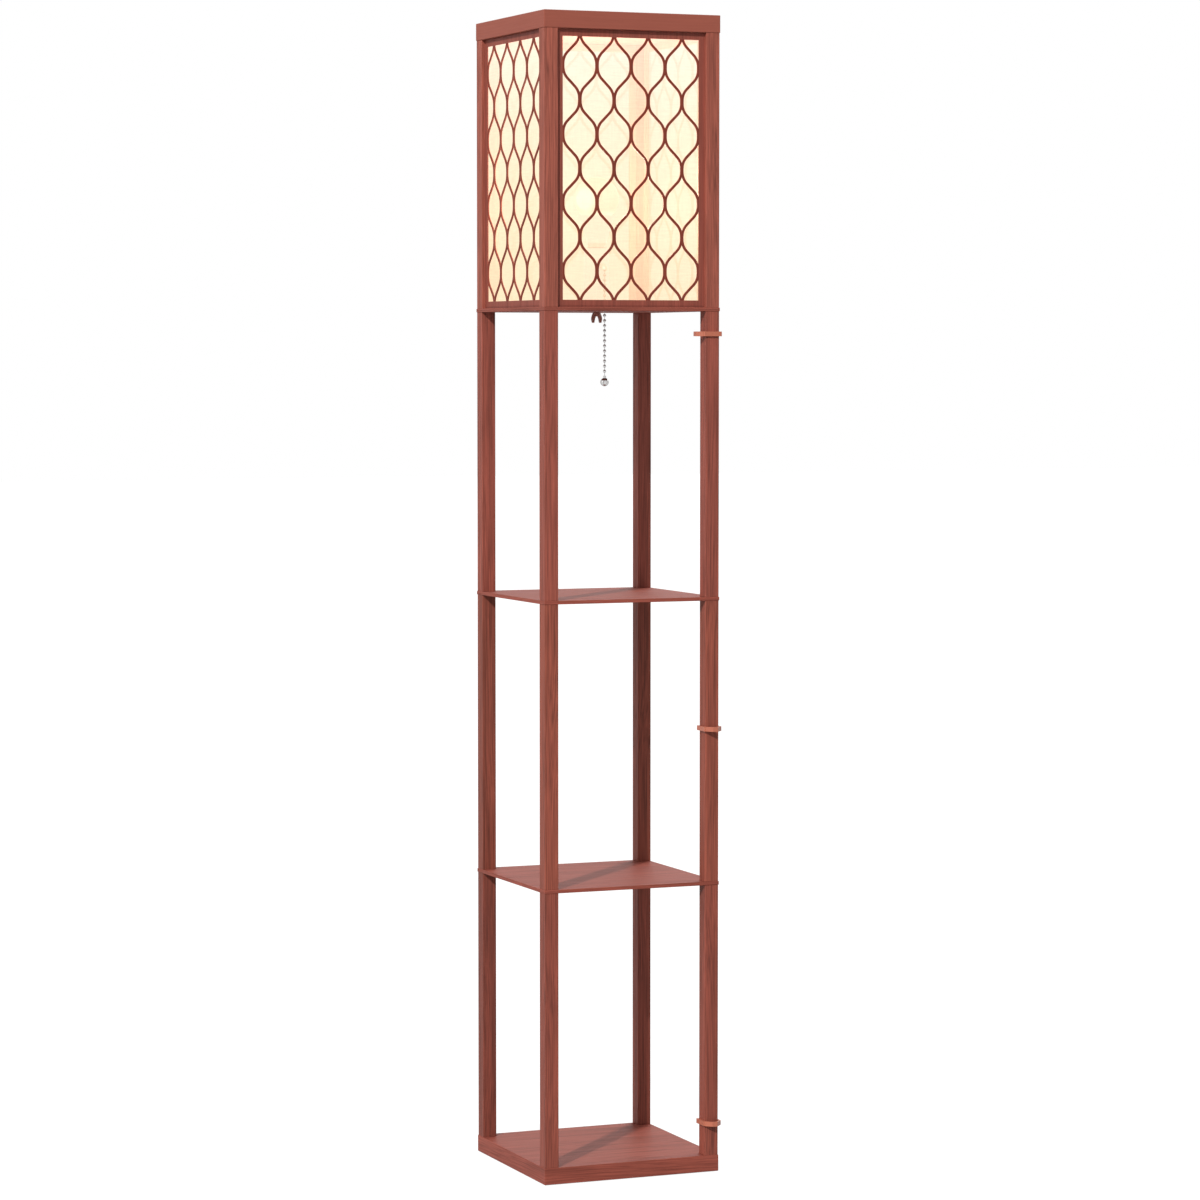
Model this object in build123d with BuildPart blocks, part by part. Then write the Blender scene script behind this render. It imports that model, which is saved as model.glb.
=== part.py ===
"""Shelf floor lamp: a square tower of posts and shelves with a lit linen shade at its top.

Millimetres. Origin at the middle of the footprint on the floor, +X to the right along the front,
+Y to the back, +Z up.
"""

from build123d import *
import os
from math import cos, radians, sin

os.makedirs("parts", exist_ok=True)

# ---------------------------------------------------------------- driving dimensions
WIDTH = 260.0  # the square footprint's side
HEIGHT = 1600.0
BOARD = 24.0  # thickness of the top board, and height of the base board's top
SHELF = 5.0  # thickness of each shelf
POST = 20.0  # the posts' square section
INSET = 0.7  # from the boards' edges to the posts' outer faces
LOWER_SHELF = 402.0  # undersides of the three shelves
UPPER_SHELF = 797.0
LAMP_SHELF = 1195.5
EDGE = 0.8  # eased edges of boards and posts
SHELF_EDGE = 0.6
END_EDGE = 0.3  # the posts' ends

PAD_RADIUS = 10.0
PAD_THICK = 3.0
PAD_PROUD = 1.0  # what shows of a pad under the base board
PAD_AT = 85.0

STUD_R = 3.0
STUD_BORE_R = 3.05
STUD_BITE = 16.0  # how far a stud reaches into a post
HEAD_R = 5.0
HEAD_HIGH = 6.0
HEAD_SUNK = 7.0  # depth of the counterbore for a bolt's head
HEX_KEY = 5.0
DOWEL_R = 4.0
DOWEL_BORE_R = 4.05
DOWEL_BITE = 12.0

PANEL_GAP = 0.5  # under the top board, so that the board rests on the posts
PANEL_RECESS = 5.3  # from the posts' outer faces
STILE = 8.9
RAIL = 9.8
LATTICE = 1.3  # thickness of a lattice panel
RELIEF = 0.2  # how far the strips stand out of the panel's frame
PITCH = 50.2  # side to side between joints of the lattice
HALF_PERIOD = 46.25  # up and down between rows of joints
COLUMNS = 4
ROWS = 8
STRIP = 3.5  # width of a strip
STRIP_APART = 0.7  # half the distance between two strips at their joint
BEND_R = 22.0
BEND_ANGLE = 45.0
LINEN = 0.8
LINEN_INSET = 1.0
BACKING = 4.0
PIN_R = 1.0
PIN_BORE_R = 1.05
PIN_BITE = 7.0  # how far a pin reaches into a post, and into a backing strip
PIN_FROM_END = 55.0
PIN_STAGGER = 20.0  # the side panels' pins are nearer the middle, clear of the others

HOLDER_STUD_TOP = 1212.0
HOLDER_STUD_LOW = 1189.4
CHAIN_Y = -29.0  # the pull chain hangs in front of the lamp holder
CHAIN_HOLE_R = 3.25
CORD_AT = (60.0, -60.0)  # where the cord leaves the shade
CORD_R = 3.5

BEAD_R = 2.2
BEAD_PITCH = 7.0
LINK_R = 0.6
JOINT_GAP = 0.15
TOP_BEAD = 1253.0
UPPER_BEADS = 9
SWING_BEADS = 5
LOWER_BEADS = 7
BALL_Z = 1098.0
BALL_R = 5.85

CLIP_HIGH = 6.5
CLIP_WALL = 2.6
CLIP_PLAY = 0.4
CLIP_MOUTH = 14.0
POCKET_DEEP = 9.7  # how far the cord pocket stands out of the clip
POCKET_FLAT = 7.8  # its flat end
POCKET_WALL = 2.4
CLIPS = {  # height of the middle, and the side that the cord pocket faces
    "upper": (1164.5, Vector(-1, 0, 0)),
    "middle": (619.5, Vector(0, -1, 0)),
    "lower": (69.3, Vector(0, -1, 0)),
}

# ---------------------------------------------------------------- places worked out from them
BASE_TOP = BOARD
CAP_Z = HEIGHT - BOARD  # underside of the top board
SHADE_Z = LAMP_SHELF + SHELF  # top of the lamp shelf, the shade's floor
POST_AT = WIDTH / 2 - INSET - POST / 2
PANEL_WIDE = 2 * POST_AT - POST
PANEL_HIGH = CAP_Z - PANEL_GAP - SHADE_Z
PANEL_Z = SHADE_Z + PANEL_HIGH / 2
PANEL_FACE = WIDTH / 2 - INSET - PANEL_RECESS
LINEN_FACE = PANEL_FACE - LATTICE
BACKING_FACE = LINEN_FACE - LINEN
OPENING_WIDE = PANEL_WIDE - 2 * STILE
OPENING_HIGH = PANEL_HIGH - 2 * RAIL

CORNERS = {
    "front_left": (-POST_AT, -POST_AT),
    "front_right": (POST_AT, -POST_AT),
    "back_left": (-POST_AT, POST_AT),
    "back_right": (POST_AT, POST_AT),
}
STOREYS = [  # bottom and top of the posts in each storey
    (BASE_TOP, LOWER_SHELF),
    (LOWER_SHELF + SHELF, UPPER_SHELF),
    (UPPER_SHELF + SHELF, LAMP_SHELF),
    (SHADE_Z, CAP_Z),
]
SIDES = {  # outward normal of each side of the shade
    "front": Vector(0, -1, 0),
    "right": Vector(1, 0, 0),
    "back": Vector(0, 1, 0),
    "left": Vector(-1, 0, 0),
}


def finish(piece, node):
    """Labels a finished piece and writes it to its own file."""
    piece.part.label = node
    export_step(piece.part, f"parts/{node}.step")


def side_plane(normal, out):
    """The upright plane at a distance out from the axis, facing outwards, X to the right."""
    return Plane(
        origin=normal * out + Vector(0, 0, PANEL_Z),
        x_dir=Vector(-normal.Y, normal.X, 0),
        z_dir=normal,
    )


def make_pins(radius, bite):
    """The round pins that hold the panels' backing strips to the posts, or the bores for them."""
    with BuildPart() as pins:
        for normal in SIDES.values():
            along = Vector(-normal.Y, normal.X, 0)
            rise = PANEL_HIGH / 2 - PIN_FROM_END - PIN_STAGGER * abs(normal.X)
            for end in (-1, 1):
                for level in (-1, 1):
                    middle = (
                        normal * (BACKING_FACE - BACKING / 2)
                        + along * (end * PANEL_WIDE / 2)
                        + Vector(0, 0, PANEL_Z + level * rise)
                    )
                    with BuildSketch(Plane(origin=middle - along * bite, z_dir=along)):
                        Circle(radius)
                    extrude(amount=2 * bite)
    return pins


# ---------------------------------------------------------------- base board and its pads
with BuildPart() as base_board:
    with BuildSketch(Plane.XY.offset(PAD_PROUD)):
        Rectangle(WIDTH, WIDTH)
    extrude(amount=BASE_TOP - PAD_PROUD)
    fillet(base_board.edges(), EDGE)
    with BuildSketch(Plane.XY.offset(PAD_PROUD)):
        with GridLocations(2 * PAD_AT, 2 * PAD_AT, 2, 2):
            Circle(PAD_RADIUS)
    extrude(amount=PAD_THICK - PAD_PROUD, mode=Mode.SUBTRACT)
    with BuildSketch(Plane.XY.offset(PAD_PROUD)):
        with GridLocations(2 * POST_AT, 2 * POST_AT, 2, 2):
            Circle(HEAD_R + 0.2)
    extrude(amount=HEAD_SUNK, mode=Mode.SUBTRACT)
    with BuildSketch(Plane.XY.offset(PAD_PROUD)):
        with GridLocations(2 * POST_AT, 2 * POST_AT, 2, 2):
            Circle(STUD_BORE_R)
    extrude(amount=BOARD, mode=Mode.SUBTRACT)
finish(base_board, "base_board")

with BuildPart() as foot_pads:
    with BuildSketch():
        with GridLocations(2 * PAD_AT, 2 * PAD_AT, 2, 2):
            Circle(PAD_RADIUS)
    extrude(amount=PAD_THICK)
finish(foot_pads, "foot_pads")

# Hex socket bolts from below, one into each post
HEAD_Z = PAD_PROUD + HEAD_SUNK - HEAD_HIGH
with BuildPart() as base_bolts:
    with BuildSketch(Plane.XY.offset(HEAD_Z)):
        with GridLocations(2 * POST_AT, 2 * POST_AT, 2, 2):
            Circle(HEAD_R)
    extrude(amount=HEAD_HIGH)
    with BuildSketch(Plane.XY.offset(HEAD_Z)):
        with GridLocations(2 * POST_AT, 2 * POST_AT, 2, 2):
            RegularPolygon(HEX_KEY / 2, 6, major_radius=False)
    extrude(amount=HEAD_HIGH / 2, mode=Mode.SUBTRACT)
    with BuildSketch(Plane.XY.offset(HEAD_Z + HEAD_HIGH)):
        with GridLocations(2 * POST_AT, 2 * POST_AT, 2, 2):
            Circle(STUD_R)
    extrude(amount=BASE_TOP + STUD_BITE - HEAD_Z - HEAD_HIGH)
finish(base_bolts, "base_bolts")


# ---------------------------------------------------------------- posts
def make_post(corner, low, high, top_bore_r, side_bores=None):
    """One post length with a blind bore in each end, and any bores for pins in its sides."""
    with BuildPart() as post:
        with BuildSketch(Plane.XY.offset(low)):
            with Locations(corner):
                Rectangle(POST, POST)
        extrude(amount=high - low)
        fillet(post.edges().filter_by(Axis.Z), EDGE)
        chamfer(post.edges().group_by(Axis.Z)[0] + post.edges().group_by(Axis.Z)[-1], END_EDGE)
        with BuildSketch(Plane.XY.offset(low)):
            with Locations(corner):
                Circle(STUD_BORE_R)
        extrude(amount=STUD_BITE + 1, mode=Mode.SUBTRACT)
        with BuildSketch(Plane.XY.offset(high)):
            with Locations(corner):
                Circle(top_bore_r)
        extrude(amount=-STUD_BITE - 1, mode=Mode.SUBTRACT)
        if side_bores:
            add(side_bores.part, mode=Mode.SUBTRACT)
    return post


pin_bores = make_pins(PIN_BORE_R, PIN_BITE + 0.5)
for storey, (low, high) in enumerate(STOREYS, 1):
    for corner_name, corner in CORNERS.items():
        if high == CAP_Z:
            post = make_post(corner, low, high, DOWEL_BORE_R, pin_bores)
        else:
            post = make_post(corner, low, high, STUD_BORE_R)
        finish(post, f"post_{storey}_{corner_name}")


# ---------------------------------------------------------------- shelves and their studs
def make_shelf(underside, holes=()):
    """A thin board with a stud hole at each corner, and further round holes as (x, y, radius)."""
    with BuildPart() as shelf:
        with BuildSketch(Plane.XY.offset(underside)):
            Rectangle(WIDTH, WIDTH)
        extrude(amount=SHELF)
        fillet(shelf.edges(), SHELF_EDGE)
        with BuildSketch(Plane.XY.offset(underside)):
            with GridLocations(2 * POST_AT, 2 * POST_AT, 2, 2):
                Circle(STUD_BORE_R)
            for x, y, radius in holes:
                with Locations((x, y)):
                    Circle(radius)
        extrude(amount=SHELF, mode=Mode.SUBTRACT)
    return shelf


finish(make_shelf(LOWER_SHELF), "lower_shelf")
finish(make_shelf(UPPER_SHELF), "upper_shelf")
LAMP_SHELF_HOLES = [
    (0, 0, STUD_BORE_R),
    (0, CHAIN_Y, CHAIN_HOLE_R),
    (*CORD_AT, CORD_R + 1.5),
]
finish(make_shelf(LAMP_SHELF, LAMP_SHELF_HOLES), "lamp_shelf")

with BuildPart() as shelf_studs:
    for underside in (LOWER_SHELF, UPPER_SHELF, LAMP_SHELF):
        with BuildSketch(Plane.XY.offset(underside - STUD_BITE)):
            with GridLocations(2 * POST_AT, 2 * POST_AT, 2, 2):
                Circle(STUD_R)
        extrude(amount=SHELF + 2 * STUD_BITE)
finish(shelf_studs, "shelf_studs")

# Bush that lines the cord's hole in the lamp shelf, with its flange on top
with BuildPart() as cord_bush:
    with BuildSketch(Plane.XY.offset(LAMP_SHELF)):
        with Locations(CORD_AT):
            Circle(CORD_R + 1.5)
    extrude(amount=SHELF)
    with BuildSketch(Plane.XY.offset(SHADE_Z)):
        with Locations(CORD_AT):
            Circle(CORD_R + 4)
    extrude(amount=2)
    fillet(cord_bush.edges().group_by(Axis.Z)[-1], 1)
    with BuildSketch(Plane.XY.offset(LAMP_SHELF)):
        with Locations(CORD_AT):
            Circle(CORD_R)
    extrude(amount=SHELF + 2, mode=Mode.SUBTRACT)
finish(cord_bush, "cord_bush")


# ---------------------------------------------------------------- lattice panels
DIAGONAL = (PITCH / 2 - 2 * STRIP_APART - 2 * BEND_R * (1 - cos(radians(BEND_ANGLE)))) / sin(
    radians(BEND_ANGLE)
)  # the straight stretch between two bends
JOINT_RUN = HALF_PERIOD - 2 * BEND_R * sin(radians(BEND_ANGLE)) - DIAGONAL * cos(radians(BEND_ANGLE))
FIRST_JOINT = ROWS * HALF_PERIOD / 2  # its height above the panel's middle


with BuildSketch() as strips:  # wavy strips from the top of a panel to its bottom
    for column in range(COLUMNS):
        joint_x = (column - (COLUMNS - 1) / 2) * PITCH
        for turn in (-1, 1):  # the side that a strip bends to first
            with BuildLine():
                start = (joint_x + turn * STRIP_APART, PANEL_HIGH / 2 + STRIP)
                run = Line(start, (start[0], FIRST_JOINT - JOINT_RUN / 2))
                for row in range(ROWS):
                    bend = JernArc(run @ 1, run % 1, BEND_R, turn * BEND_ANGLE)
                    slope = Line(bend @ 1, bend @ 1 + (bend % 1) * DIAGONAL)
                    back = JernArc(slope @ 1, slope % 1, BEND_R, -turn * BEND_ANGLE)
                    tail = JOINT_RUN if row < ROWS - 1 else BOARD
                    run = Line(back @ 1, back @ 1 + (back % 1) * tail)
                    turn = -turn
                offset(amount=STRIP / 2, side=Side.BOTH, mode=Mode.REPLACE)
            make_face()
    Rectangle(PANEL_WIDE, PANEL_HIGH, mode=Mode.INTERSECT)

with BuildSketch() as panel_frame:
    Rectangle(PANEL_WIDE, PANEL_HIGH)
    Rectangle(OPENING_WIDE, OPENING_HIGH, mode=Mode.SUBTRACT)

for side, normal in SIDES.items():
    with BuildPart() as lattice:
        with BuildSketch(side_plane(normal, PANEL_FACE)):
            add(panel_frame.sketch)
            add(strips.sketch)
        extrude(amount=-LATTICE)
        with BuildSketch(side_plane(normal, PANEL_FACE)):
            add(strips.sketch)
        extrude(amount=RELIEF)
    finish(lattice, f"lattice_{side}")

    with BuildPart() as linen:
        with BuildSketch(side_plane(normal, LINEN_FACE)):
            Rectangle(PANEL_WIDE - 2 * LINEN_INSET, PANEL_HIGH - 2 * LINEN_INSET)
        extrude(amount=-LINEN)
    finish(linen, f"linen_{side}")

# Strips behind the linen, two upright and two across between them on each side
with BuildPart() as backing_strips:
    for normal in SIDES.values():
        with BuildSketch(side_plane(normal, BACKING_FACE)):
            with GridLocations(PANEL_WIDE - STILE, 1, 2, 1):
                Rectangle(STILE, PANEL_HIGH)
            with GridLocations(1, PANEL_HIGH - RAIL, 1, 2):
                Rectangle(OPENING_WIDE - 0.2, RAIL)
        extrude(amount=-BACKING)
    add(pin_bores.part, mode=Mode.SUBTRACT)
finish(backing_strips, "backing_strips")
finish(make_pins(PIN_R, PIN_BITE), "panel_pins")

# ---------------------------------------------------------------- top board and its dowels
with BuildPart() as top_board:
    with BuildSketch(Plane.XY.offset(CAP_Z)):
        Rectangle(WIDTH, WIDTH)
    extrude(amount=BOARD)
    fillet(top_board.edges(), EDGE)
    with BuildSketch(Plane.XY.offset(CAP_Z)):
        with GridLocations(2 * POST_AT, 2 * POST_AT, 2, 2):
            Circle(DOWEL_R)
    extrude(amount=DOWEL_BITE, mode=Mode.SUBTRACT)
finish(top_board, "top_board")

with BuildPart() as top_board_dowels:
    with BuildSketch(Plane.XY.offset(CAP_Z - DOWEL_BITE)):
        with GridLocations(2 * POST_AT, 2 * POST_AT, 2, 2):
            Circle(DOWEL_R)
    extrude(amount=2 * DOWEL_BITE)
    chamfer(top_board_dowels.edges().group_by(Axis.Z)[0], 1)
finish(top_board_dowels, "top_board_dowels")


# ---------------------------------------------------------------- cord clips
CLIP_INNER = POST / 2 + CLIP_PLAY  # half of the square round the post
CLIP_OUTER = CLIP_INNER + CLIP_WALL
CLIP_END = CLIP_OUTER + POCKET_DEEP
POCKET_SLOPE = (CLIP_OUTER - POCKET_FLAT / 2) / POCKET_DEEP
SLOPE_SHIFT = POCKET_WALL * (1 + POCKET_SLOPE**2) ** 0.5  # the sloping wall's thickness along X
POCKET_END = CLIP_END - POCKET_WALL
POCKET_HALF = POCKET_FLAT / 2 + POCKET_WALL * POCKET_SLOPE - SLOPE_SHIFT
POCKET_ROOT = CLIP_OUTER + (CLIP_OUTER - SLOPE_SHIFT - CLIP_INNER) / POCKET_SLOPE
HINGE_R = 0.7

for place, (middle, pocket) in CLIPS.items():
    clip_plane = Plane(  # the post's middle at 0, 0 and the pocket towards -Y
        origin=(POST_AT, -POST_AT, middle - CLIP_HIGH / 2),
        x_dir=Vector(-pocket.Y, pocket.X, 0),
        z_dir=(0, 0, 1),
    )
    with BuildPart() as cord_clip:
        with BuildSketch(clip_plane) as outline:
            with BuildLine():
                Polyline(
                    (-CLIP_OUTER, CLIP_OUTER),
                    (-CLIP_OUTER, -CLIP_OUTER),
                    (-POCKET_FLAT / 2, -CLIP_END),
                    (POCKET_FLAT / 2, -CLIP_END),
                    (CLIP_OUTER, -CLIP_OUTER),
                    (CLIP_OUTER, CLIP_OUTER),
                    close=True,
                )
            make_face()
            fillet(outline.vertices(), 1)
            with BuildLine():
                Polyline(
                    (-CLIP_INNER, CLIP_INNER),
                    (-CLIP_INNER, -POCKET_ROOT),
                    (-POCKET_HALF, -POCKET_END),
                    (POCKET_HALF, -POCKET_END),
                    (CLIP_INNER, -POCKET_ROOT),
                    (CLIP_INNER, CLIP_INNER),
                    close=True,
                )
            make_face(mode=Mode.SUBTRACT)
            with Locations((0, CLIP_OUTER)):
                Rectangle(CLIP_MOUTH, 2 * CLIP_WALL + 1, mode=Mode.SUBTRACT)
            with Locations((-CLIP_OUTER + 1.2, -CLIP_OUTER - 1.6), (CLIP_OUTER - 1.2, -CLIP_OUTER - 1.6)):
                Circle(HINGE_R, mode=Mode.SUBTRACT)
        extrude(amount=CLIP_HIGH)
    finish(cord_clip, f"cord_clip_{place}")

# ---------------------------------------------------------------- lamp holder's fixing
NUT_HUB_R = 5.3
NUT_HUB = 6.4
WING_THICK = 4.4
WING = [  # outline of one wing, from the axis and down from the shelf
    (2.4, -0.6),
    (4.9, -0.6),
    (7.3, -7.0),
    (7.7, -10.5),
    (6.6, -15.3),
    (4.1, -15.3),
    (2.9, -9.5),
    (1.6, -6.0),
]

with BuildPart() as wing_nut:
    with BuildSketch(Plane.XZ.offset(-WING_THICK / 2)) as wings:
        with BuildLine():
            Polyline([(x, LAMP_SHELF + z) for x, z in WING], close=True)
        make_face()
        fillet(wings.vertices(), 0.9)
        mirror(about=Plane.YZ)
    extrude(amount=WING_THICK)
    fillet(wing_nut.edges().group_by(Axis.Y)[0] + wing_nut.edges().group_by(Axis.Y)[-1], 0.6)
    with BuildSketch(Plane.XY.offset(LAMP_SHELF)):
        Circle(NUT_HUB_R)
    extrude(amount=-NUT_HUB)
    with BuildSketch(Plane.XY.offset(LAMP_SHELF)):
        Circle(STUD_BORE_R)
    extrude(amount=-NUT_HUB - 2, mode=Mode.SUBTRACT)
finish(wing_nut, "wing_nut")

with BuildPart() as holder_stud:
    with BuildSketch(Plane.XY.offset(HOLDER_STUD_LOW)):
        Circle(STUD_R)
    extrude(amount=HOLDER_STUD_TOP - HOLDER_STUD_LOW)
    chamfer(holder_stud.edges().group_by(Axis.Z)[0], 0.6)
finish(holder_stud, "holder_stud")

NUT_Z = SHADE_Z + 1.6
NUT_HIGH = 5.0
with BuildPart() as lock_nut:
    with BuildSketch(Plane.XY.offset(NUT_Z)):
        RegularPolygon(5, 6, major_radius=False)
        Circle(STUD_BORE_R, mode=Mode.SUBTRACT)
    extrude(amount=NUT_HIGH)
finish(lock_nut, "lock_nut")

# ---------------------------------------------------------------- lamp holder
HOLDER_R = 19.0
CAP_TOP = 1235.0
SHELL_R = 17.6
SHELL_LOW = 1231.0
SHELL_TOP = 1284.0
BLOCK_R = 16.5
BLOCK_LOW = 1222.0
BLOCK_TOP = 1261.0
DRUM_R = 6.7
DRUM_WIDE = 5.0
DRUM_AT = (-8.6, 1249.4)  # y and z of its axis
DRUM_TEETH = 8
AXLE_R = 1.2
AXLE_BORE_R = 1.28
AXLE_LONG = 17.0
CAVITY = 11.0
CAVITY_LOW = 1241.5
MOUTH_Z = DRUM_AT[1] + DRUM_R + BEAD_R  # the chain leaves over the top of the drum
MOUTH_R = 4.0
MOUTH_BORE_R = 2.9
MOUTH_BEND = 5.0

with BuildPart() as holder_cap:
    with BuildSketch(Plane.XZ):
        with BuildLine():
            Polyline((3.1, SHADE_Z), (12, SHADE_Z))
            Spline((12, SHADE_Z), (16.5, SHADE_Z + 6), (HOLDER_R, SHADE_Z + 15), tangents=[(1, 0.3), (0, 1)])
            Polyline((HOLDER_R, SHADE_Z + 15), (HOLDER_R, CAP_TOP), (HOLDER_R - 1.2, CAP_TOP))
            Polyline((HOLDER_R - 1.2, CAP_TOP), (HOLDER_R - 1.2, SHADE_Z + 15), (14.6, SHADE_Z + 6))
            Polyline((14.6, SHADE_Z + 6), (10.5, SHADE_Z + 1.6), (3.1, SHADE_Z + 1.6), (3.1, SHADE_Z))
        make_face()
    revolve(axis=Axis.Z)
    with BuildSketch(Plane.XZ.offset(-HOLDER_R + 3)):  # the cord comes in at the back
        with Locations((0, SHADE_Z + 15)):
            Circle(CORD_R)
    extrude(amount=-4, mode=Mode.SUBTRACT)
finish(holder_cap, "holder_cap")

with BuildPart() as holder_shell:
    with BuildSketch(Plane.XZ):
        with BuildLine():
            Polyline(
                (SHELL_R - 1, SHELL_LOW),
                (SHELL_R, SHELL_LOW),
                (SHELL_R, SHELL_TOP - 1),
                (SHELL_R + 0.8, SHELL_TOP),
                (SHELL_R - 0.4, SHELL_TOP),
                (SHELL_R - 1, SHELL_TOP - 1),
                close=True,
            )
        make_face()
    revolve(axis=Axis.Z)
    with BuildSketch(Plane.XZ):
        with Locations((0, MOUTH_Z)):
            Circle(MOUTH_R)
    extrude(amount=HOLDER_R, mode=Mode.SUBTRACT)
finish(holder_shell, "holder_shell")

# Switch block, with a cavity for the drum that the chain turns
with BuildPart() as switch_block:
    with BuildSketch(Plane.XY.offset(BLOCK_LOW)):
        Circle(BLOCK_R)
    extrude(amount=BLOCK_TOP - BLOCK_LOW)
    with BuildSketch(Plane.XY.offset(NUT_Z + NUT_HIGH)):
        Circle(6)
    extrude(amount=BLOCK_LOW - NUT_Z - NUT_HIGH)
    with BuildSketch(Plane.XY.offset(NUT_Z + NUT_HIGH)):
        Circle(STUD_BORE_R)
    extrude(amount=HOLDER_STUD_TOP + 1 - NUT_Z - NUT_HIGH, mode=Mode.SUBTRACT)
    with BuildSketch(Plane.XY.offset(BLOCK_TOP)):
        with Locations((0, -BLOCK_R / 2 - 0.4)):
            Rectangle(CAVITY, BLOCK_R - 0.8)
    extrude(amount=CAVITY_LOW - BLOCK_TOP, mode=Mode.SUBTRACT)
    with BuildSketch(Plane.YZ.offset(-AXLE_LONG / 2)):
        with Locations(DRUM_AT):
            Circle(AXLE_R)
    extrude(amount=AXLE_LONG, mode=Mode.SUBTRACT)
finish(switch_block, "switch_block")

with BuildPart() as drum_axle:
    with BuildSketch(Plane.YZ.offset(-AXLE_LONG / 2)):
        with Locations(DRUM_AT):
            Circle(AXLE_R)
    extrude(amount=AXLE_LONG)
finish(drum_axle, "drum_axle")

with BuildPart() as switch_drum:
    with BuildSketch(Plane.YZ.offset(-DRUM_WIDE / 2)):
        with Locations(DRUM_AT):
            Circle(DRUM_R)
            Circle(AXLE_BORE_R, mode=Mode.SUBTRACT)
            with PolarLocations(DRUM_R, DRUM_TEETH):
                Circle(1.3, mode=Mode.SUBTRACT)
    extrude(amount=DRUM_WIDE)
finish(switch_drum, "switch_drum")

with BuildPart() as return_spring:
    with BuildSketch(Plane.YZ.offset(DRUM_WIDE / 2 + 0.4)):
        with Locations(DRUM_AT):
            Circle(4.6)
            with Locations((0, (CAVITY_LOW - DRUM_AT[1] - 3) / 2)):
                Rectangle(1.4, DRUM_AT[1] - CAVITY_LOW - 3)
            Circle(AXLE_R, mode=Mode.SUBTRACT)
    extrude(amount=CAVITY / 2 - DRUM_WIDE / 2 - 0.6)
finish(return_spring, "return_spring")

with BuildPart() as chain_mouth:
    with BuildLine(Plane.YZ):
        level = Line((-SHELL_R + 1, MOUTH_Z), (CHAIN_Y + MOUTH_BEND, MOUTH_Z))
        JernArc(level @ 1, level % 1, MOUTH_BEND, 90)
    with BuildSketch(Plane.XZ.offset(SHELL_R - 1)):
        with Locations((0, MOUTH_Z)):
            Circle(MOUTH_R)
            Circle(MOUTH_BORE_R, mode=Mode.SUBTRACT)
    sweep()
finish(chain_mouth, "chain_mouth")

SCREW_R = 13.6
with BuildPart() as screw_shell:
    with BuildSketch(Plane.XY.offset(BLOCK_TOP)):
        Circle(SCREW_R + 0.5)
        Circle(4, mode=Mode.SUBTRACT)
    extrude(amount=0.6)
    with BuildSketch(Plane.XY.offset(BLOCK_TOP)):
        Circle(SCREW_R + 0.5)
        Circle(SCREW_R, mode=Mode.SUBTRACT)
    extrude(amount=21)
finish(screw_shell, "screw_shell")

CONTACT_TOP = BLOCK_TOP + 2.5
with BuildPart() as centre_contact:
    with BuildSketch(Plane.XY.offset(BLOCK_TOP)):
        with Locations((0, 1.5)):
            Circle(2.2)
    extrude(amount=CONTACT_TOP - BLOCK_TOP)
finish(centre_contact, "centre_contact")

with BuildPart() as insulating_sleeve:
    with BuildSketch(Plane.XY.offset(BLOCK_TOP)):
        Circle(16.2)
        Circle(15, mode=Mode.SUBTRACT)
    extrude(amount=SHELL_TOP - BLOCK_TOP - 1)
    with BuildSketch(Plane.XZ):
        with Locations((0, MOUTH_Z)):
            Circle(MOUTH_R)
    extrude(amount=HOLDER_R, mode=Mode.SUBTRACT)
finish(insulating_sleeve, "insulating_sleeve")

# ---------------------------------------------------------------- bulb
BULB_TIP = CONTACT_TOP + 0.1
THREAD_LOW = BULB_TIP + 5.4
THREAD_PITCH = 3.6
THREADS = 5
THREAD_R = 13.1
NECK_Z = 1291.0
RIM_Z = 1329.0
RIM_R = 28.0
GLOBE_Z = 1352.0
GLOBE_R = 31.0
GLOBE_WALL = 1.2

with BuildPart() as bulb_contact:
    with BuildSketch(Plane.XY.offset(BULB_TIP)):
        Circle(4.5)
    extrude(amount=2)
    fillet(bulb_contact.edges().group_by(Axis.Z)[0], 1)
finish(bulb_contact, "bulb_contact")

with BuildPart() as bulb_screw_cap:
    with BuildSketch(Plane.XZ):
        with BuildLine() as cap_profile:
            Polyline((0, BULB_TIP + 2), (6, BULB_TIP + 2), (12.2, THREAD_LOW))
            for turn in range(THREADS):
                low = THREAD_LOW + turn * THREAD_PITCH
                Spline(
                    (12.2, low),
                    (THREAD_R, low + THREAD_PITCH / 2),
                    (12.2, low + THREAD_PITCH),
                    tangents=[(0, 1), (0, 1)],
                )
            top = THREAD_LOW + THREADS * THREAD_PITCH
            Polyline((12.2, top), (12.6, NECK_Z), (0, NECK_Z), (0, BULB_TIP + 2))
        make_face()
    revolve(axis=Axis.Z)
finish(bulb_screw_cap, "bulb_screw_cap")

with BuildPart() as bulb_housing:
    with BuildSketch(Plane.XZ):
        with BuildLine():
            Line((0, NECK_Z), (14, NECK_Z))
            Spline((14, NECK_Z), (19, NECK_Z + 18), (RIM_R, RIM_Z), tangents=[(0.1, 1), (1, 1)])
            Polyline((RIM_R, RIM_Z), (0, RIM_Z), (0, NECK_Z))
        make_face()
    revolve(axis=Axis.Z)
finish(bulb_housing, "bulb_housing")

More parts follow.
